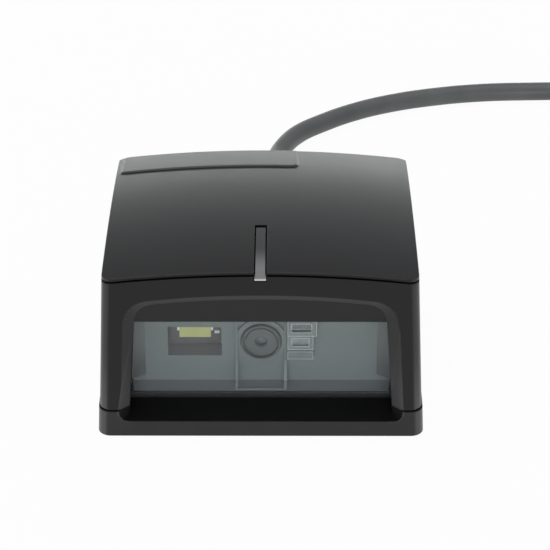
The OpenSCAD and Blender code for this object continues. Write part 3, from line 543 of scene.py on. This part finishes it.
def window_glass(name):
    """Clear pane with a weak reflection, faint wipe marks and a thin film. Lamps reach through it."""
    material, tree, shader = start_material(name)
    shader.inputs["Base Color"].default_value = PANE_TINT
    shader.inputs["Transmission Weight"].default_value = 1.0
    shader.inputs["IOR"].default_value = PANE_IOR
    wipes = object_noise(tree, size=0.004, detail=4.0, stretch=(0.3, 1.0, 1.0))
    tree.links.new(spread(tree, wipes, low=0.0, high=0.03), shader.inputs["Roughness"])
    film = tree.nodes.new("ShaderNodeBsdfDiffuse")
    film.inputs["Color"].default_value = PANE_FILM
    hazed = blend_shaders(tree, PANE_FILM_SHARE, shader.outputs["BSDF"], film.outputs["BSDF"])
    path = tree.nodes.new("ShaderNodeLightPath")
    clear = tree.nodes.new("ShaderNodeBsdfTransparent")
    clear.inputs["Color"].default_value = PANE_SHADOW_TINT
    pane = blend_shaders(tree, path.outputs["Is Shadow Ray"], hazed, clear.outputs["BSDF"])
    tree.links.new(pane, tree.nodes["Material Output"].inputs["Surface"])
    return material


def coated_lens(name, colour):
    """Dark coated glass of a small lens."""
    material, tree, shader = start_material(name)
    cloud = object_noise(tree, size=0.002, detail=2.0)
    tree.links.new(mottled(tree, cloud, colour, low=1.0, high=1.4), shader.inputs["Base Color"])
    tree.links.new(spread(tree, cloud, low=0.04, high=0.1), shader.inputs["Roughness"])
    shader.inputs["Specular IOR Level"].default_value = WEAK_SPECULAR
    shader.inputs["Coat Weight"].default_value = 0.25
    shader.inputs["Coat Roughness"].default_value = 0.03
    return material


def engine_plastic(name):
    """Grey engine moulding: matt, with painted shade on its sides and painted light low down and on its
    floor.
    """
    material, tree, shader = start_material(name)
    height = coordinate_axes(tree, "Object")["Z"]
    # Painted light: paler low down
    lowness = ramp(tree, height, ENGINE_TOP, ENGINE_BOTTOM, smooth=True)
    colour = blend_colours(tree, lowness, ENGINE_GREY, ENGINE_LOW)
    facing = coordinate_axes(tree, "Normal")
    # Painted light on up-facing floors and painted shade on the sides
    painted_floor_light = ramp(tree, facing["Z"], *ENGINE_FLOOR_FACING)
    side = ramp(tree, size_of(tree, facing["X"]), *ENGINE_SIDE_FACING)
    colour = blend_colours(tree, side, colour, ENGINE_SIDE)
    tree.links.new(blend_colours(tree, painted_floor_light, colour, ENGINE_FLOOR), shader.inputs["Base Color"])
    gloss = object_noise(tree, GLOSS_SIZE, GLOSS_DETAIL)
    tree.links.new(spread(tree, gloss, low=0.52, high=0.58), shader.inputs["Roughness"])
    grain(tree, shader, object_noise(tree, GRAIN_SIZE, GRAIN_DETAIL), GRAIN_DEPTH, edge=0.00015)
    return material


def aimer_plastic(name):
    """Pale translucent holder with a painted highlight on its edges."""
    material, tree, shader = start_material(name)
    cloud = spread(tree, object_noise(tree, size=0.002, detail=3.0), low=0.0, high=1.0)
    colour = blend_colours(tree, cloud, tinted(AIMER_GREY, 0.92), tinted(AIMER_GREY, 1.08))
    # Painted highlight on the holder's edges
    edges = painted_highlight_mask(tree, edge=0.00026)
    tree.links.new(blend_colours(tree, edges, colour, AIMER_EDGE_HIGHLIGHT), shader.inputs["Base Color"])
    tree.links.new(spread(tree, cloud, low=0.3, high=0.38), shader.inputs["Roughness"])
    grain(tree, shader, object_noise(tree, 0.0002, GRAIN_DETAIL), depth=0.000003, edge=0.00012)
    return material


def guide_plastic(name):
    """Smoked light pipe with a painted glow, paler towards its front end, and a painted highlight at its
    lip.
    """
    material, tree, shader = start_material(name)
    low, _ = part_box("light_pipe")
    axes = coordinate_axes(tree, "Object")
    # Painted glow, paler towards the front end
    front = ramp(tree, axes["Y"], low.y + PIPE_GLOW_START, low.y + PIPE_GLOW_STOP, smooth=True)
    colour = blend_colours(tree, front, PIPE_DARK, PIPE_PALE)
    # Painted highlight along the lip
    lip = ramp(tree, axes["Z"], PIPE_LIP + PIPE_LIP_START, PIPE_LIP + PIPE_LIP_STOP)
    tree.links.new(blend_colours(tree, lip, colour, PIPE_LIP_HIGHLIGHT), shader.inputs["Base Color"])
    gloss = object_noise(tree, size=0.002, detail=3.0)
    tree.links.new(spread(tree, gloss, low=0.28, high=0.32), shader.inputs["Roughness"])
    grain(tree, shader, object_noise(tree, 0.0004, GRAIN_DETAIL), depth=0.000001, edge=0.0)
    return material


def solder_mask(name, colour):
    """Circuit board with faint traces under its mask."""
    material, tree, shader = start_material(name)
    place = tree.nodes.new("ShaderNodeTexCoord")
    bricks = tree.nodes.new("ShaderNodeTexBrick")
    bricks.inputs["Scale"].default_value = 420.0
    feed(tree, bricks.inputs["Color1"], colour)
    feed(tree, bricks.inputs["Color2"], tinted(colour, 1.35))
    feed(tree, bricks.inputs["Mortar"], tinted(colour, 1.8))
    bricks.inputs["Mortar Size"].default_value = 0.03
    tree.links.new(place.outputs["Object"], bricks.inputs["Vector"])
    tree.links.new(bricks.outputs["Color"], shader.inputs["Base Color"])
    gloss = object_noise(tree, size=0.003, detail=3.0)
    tree.links.new(spread(tree, gloss, low=0.3, high=0.42), shader.inputs["Roughness"])
    grain(tree, shader, bricks.outputs["Fac"], depth=0.00001, edge=0.0)
    return material


def woven_strap(name, colour):
    """Hook and loop strap: a fine cross weave with a fuzzy nap."""
    material, tree, shader = start_material(name)
    place = tree.nodes.new("ShaderNodeTexCoord")
    turned = tree.nodes.new("ShaderNodeMapping")
    turned.inputs["Rotation"].default_value = (0.0, 0.0, math.radians(45.0))
    tree.links.new(place.outputs["Object"], turned.inputs["Vector"])
    checks = tree.nodes.new("ShaderNodeTexChecker")
    checks.inputs["Scale"].default_value = 1800.0
    tree.links.new(turned.outputs["Vector"], checks.inputs["Vector"])
    nap = object_noise(tree, size=0.0005, detail=3.0)
    tree.links.new(mottled(tree, nap, colour, low=0.7, high=1.5), shader.inputs["Base Color"])
    grain(tree, shader, checks.outputs["Fac"], depth=0.00005, edge=0.0002)
    shader.inputs["Roughness"].default_value = 0.9
    shader.inputs["Sheen Weight"].default_value = 0.3
    return material


# Plain mouldings: colour, roughness, size and depth of the grain, and the radius that softens edges
MOULDINGS = {
    "gasket_foam": ((0.035, 0.037, 0.039), 0.85, 0.0003, 0.00002, 0.0),
    "barrel_plastic": ((0.079, 0.087, 0.088), 0.4, GRAIN_SIZE, GRAIN_DEPTH, 0.0001),
    "holder_plastic": (DARK_GREY, 0.5, GRAIN_SIZE, GRAIN_DEPTH, 0.00012),
    "lamp_mask": (MASK_GREY, 0.5, GRAIN_SIZE, GRAIN_DEPTH, 0.0),
    "chip_compound": ((0.012, 0.012, 0.0125), 0.55, 0.0001, 0.000004, 0.00008),
    "lamp_white": ((0.7, 0.7, 0.66), 0.35, GRAIN_SIZE, GRAIN_DEPTH, 0.00006),
    "phosphor_fill": ((0.56, 0.54, 0.22), 0.3, 0.00012, 0.000003, 0.00005),
    "tin_plate": ((0.85, 0.85, 0.83), 0.25, GRAIN_SIZE, GRAIN_DEPTH, 0.00005),
    "ribbon_film": ((0.38, 0.16, 0.025), 0.28, 0.0006, 0.000004, 0.0),
    "ivory_plastic": ((0.68, 0.63, 0.5), 0.45, GRAIN_SIZE, GRAIN_DEPTH, 0.0001),
    "relief_rubber": ((0.016, 0.016, 0.0165), 0.5, 0.0003, 0.000008, 0.0002),
    "cable_jacket": ((0.11, 0.113, 0.113), 0.42, 0.0005, 0.000006, 0.0),
    "white_insert": ((0.75, 0.75, 0.72), 0.35, GRAIN_SIZE, GRAIN_DEPTH, 0.00008),
}

# Metals: colour, roughness and how the streaks are stretched
METALS = {
    "zinc_plate": ((0.6, 0.61, 0.62), 0.32, (1.0, 1.0, 1.0)),
    "turned_brass": ((0.62, 0.42, 0.15), 0.28, (1.0, 1.0, 6.0)),
    "nickel_plate": ((0.66, 0.66, 0.65), 0.22, (1.0, 0.12, 1.0)),
}

finishes = {
    "housing_moulding": case_moulding("housing_moulding", BLACK, housing_shade),
    "cover_moulding": case_moulding("cover_moulding", BLACK, cover_shade),
    "tray_moulding": case_moulding("tray_moulding", TRAY_BLACK, scoop_shade),
    "window_glass": window_glass("window_glass"),
    "guide_plastic": guide_plastic("guide_plastic"),
    "engine_plastic": engine_plastic("engine_plastic"),
    "aimer_plastic": aimer_plastic("aimer_plastic"),
    "coated_lens": coated_lens("coated_lens", (0.14, 0.149, 0.155)),
    "clear_lens": coated_lens("clear_lens", (0.195, 0.215, 0.215)),
    "solder_mask": solder_mask("solder_mask", MASK_GREEN),
    "resistor_glaze": resistor_glaze("resistor_glaze"),
    "woven_strap": woven_strap("woven_strap", (0.012, 0.012, 0.0125)),
}
finishes.update({name: moulded(name, *values) for name, values in MOULDINGS.items()})
finishes.update({name: metal(name, *values) for name, values in METALS.items()})

node_finishes = {
    "housing_moulding": ["main_housing"],
    "cover_moulding": ["top_cover"],
    "tray_moulding": ["base_tray"],
    "window_glass": ["window_pane"],
    "gasket_foam": ["window_gasket"],
    "guide_plastic": ["light_pipe"],
    "engine_plastic": ["engine_chassis"],
    "aimer_plastic": ["aimer_holder"],
    "barrel_plastic": ["lens_barrel"],
    "holder_plastic": ["lens_holder"],
    "coated_lens": ["lens_element", "image_sensor"],
    "clear_lens": ["aimer_lens"],
    "solder_mask": ["sensor_board", "decoder_board"],
    "lamp_mask": ["lamp_board"],
    "chip_compound": ["decoder_chips", "beeper"],
    "lamp_white": ["lamp_package", "indicator_lamp", "aimer_lamp"],
    "resistor_glaze": ["chip_resistors"],
    "phosphor_fill": ["lamp_phosphor"],
    "tin_plate": ["lamp_terminals"],
    "zinc_plate": ["holder_screws", "lamp_screws", "engine_screws", "board_screws", "case_screws"],
    "turned_brass": ["mount_inserts"],
    "ribbon_film": ["flex_ribbon"],
    "ivory_plastic": ["flex_sockets", "cable_header", "wire_harness"],
    "relief_rubber": ["strain_relief", "plug_grip"],
    "cable_jacket": ["cable_run", "cable_coil", "cable_tail"],
    "woven_strap": ["coil_ties"],
    "nickel_plate": ["plug_shell"],
    "white_insert": ["plug_insert"],
}


def dress_nodes():
    """Gives every CAD node its finish."""
    for finish, names in node_finishes.items():
        for name in names:
            slots = nodes[name].data.materials
            slots.clear()
            slots.append(finishes[finish])


# Floor, light and world
FLOOR_HALF = 4.0
FLOOR_DROP = 0.00005
PAPER_DARK = (0.8, 0.8, 0.8)
PAPER_PALE = (0.83, 0.83, 0.83)
WHITE_SHARE = 0.96
HORIZON = (0.79, 0.835, 0.82)
OVERHEAD = (0.49, 0.495, 0.51)
HORIZON_HEIGHT = 0.34
COOL_WHITE = (0.95, 1.0, 0.98)


def floor_paper():
    """White paper that looks white to the camera and in reflections, and keeps a faint shadow."""
    material, tree, shader = start_material("floor_paper")
    fibres = spread(tree, object_noise(tree, size=0.05, detail=3.0), low=0.0, high=1.0)
    tree.links.new(blend_colours(tree, fibres, PAPER_DARK, PAPER_PALE), shader.inputs["Base Color"])
    shader.inputs["Roughness"].default_value = 0.9
    path = tree.nodes.new("ShaderNodeLightPath")
    white = tree.nodes.new("ShaderNodeEmission")
    white.inputs["Strength"].default_value = 1.0
    seen = either(tree, path.outputs["Is Camera Ray"], path.outputs["Is Glossy Ray"])
    shown = either(tree, seen, path.outputs["Is Transmission Ray"])
    share = product(tree, shown, WHITE_SHARE)
    paper = blend_shaders(tree, share, shader.outputs["BSDF"], white.outputs["Emission"])
    tree.links.new(paper, tree.nodes["Material Output"].inputs["Surface"])
    return material


def lay_floor():
    """Wide floor just under the base."""
    bm = bmesh.new()
    bmesh.ops.create_grid(bm, x_segments=2, y_segments=2, size=FLOOR_HALF)
    bmesh.ops.translate(bm, verts=bm.verts, vec=(0.0, 0.0, -FLOOR_DROP))
    mesh = bpy.data.meshes.new("floor")
    bm.to_mesh(mesh)
    bm.free()
    mesh.materials.append(floor_paper())
    floor = bpy.data.objects.new("floor", mesh)
    bpy.context.scene.collection.objects.link(floor)


def hang_lamp(name, place, aim, width, height, power, colour=(1.0, 1.0, 1.0)):
    """A soft box at a place, aimed at a point."""
    data = bpy.data.lights.new(name, "AREA")
    data.shape = "RECTANGLE"
    data.size = width
    data.size_y = height
    data.energy = power
    data.color = colour
    lamp = bpy.data.objects.new(name, data)
    bpy.context.scene.collection.objects.link(lamp)
    lamp.location = place
    lamp.rotation_mode = "QUATERNION"
    lamp.rotation_quaternion = (Vector(aim) - Vector(place)).to_track_quat("-Z", "Y")


def set_world():
    """Studio walls: pale at the horizon and dimmer overhead."""
    world = bpy.data.worlds.new("studio")
    bpy.context.scene.world = world
    world.use_nodes = True
    tree = world.node_tree
    background = tree.nodes["Background"]
    direction = coordinate_axes(tree, "Generated")
    height = ramp(tree, direction["Z"], 0.0, HORIZON_HEIGHT, smooth=True)
    tree.links.new(blend_colours(tree, height, HORIZON, OVERHEAD), background.inputs["Color"])


bpy.context.scene.view_settings.view_transform = "Standard"
place_camera()
dress_nodes()
make_cable(finishes["cable_jacket"])
lay_floor()
set_world()
hang_lamp("top_lamp", (-0.3, 0.2, 1.3), (0.0, 0.0, 0.0), width=0.9, height=0.9, power=6.0)
hang_lamp("front_lamp", (0.0, -1.2, 0.3), (0.0, 0.0, 0.01), width=0.7, height=0.5, power=3.4)
hang_lamp("back_lamp", (0.0, 1.5, 0.03), (0.0, 0.0, 0.02), width=2.4, height=0.06, power=2.3,
          colour=COOL_WHITE)
